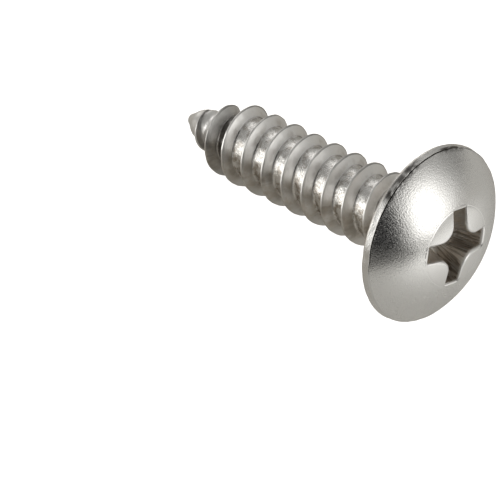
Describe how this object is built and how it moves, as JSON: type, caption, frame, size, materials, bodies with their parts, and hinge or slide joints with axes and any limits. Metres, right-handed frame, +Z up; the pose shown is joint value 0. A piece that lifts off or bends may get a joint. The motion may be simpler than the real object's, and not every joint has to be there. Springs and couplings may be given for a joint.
{
  "type": "sheet metal screw",
  "caption": "Self-tapping sheet metal screw: wide truss head, cross recess, coarse right-hand thread and gimlet point, in polished stainless steel, lying on its rim and thread.",
  "frame": {"origin": "centre of the box on the ground plane, under the lying screw", "axes": "+Z up; the screw lies along X with its point towards -X and its head towards +X, its axis raised 11.3 degrees at the head, which stands on its rim"},
  "size_m": [0.0212, 0.0108, 0.0106],
  "materials": {
    "steel": "tumbled stainless steel: satin polish on the head with a fine orange peel, brighter rolled core and plain smooth thread flanks"
  },
  "bodies": {
    "root": {"screw": "steel"}
  },
  "joints": []
}
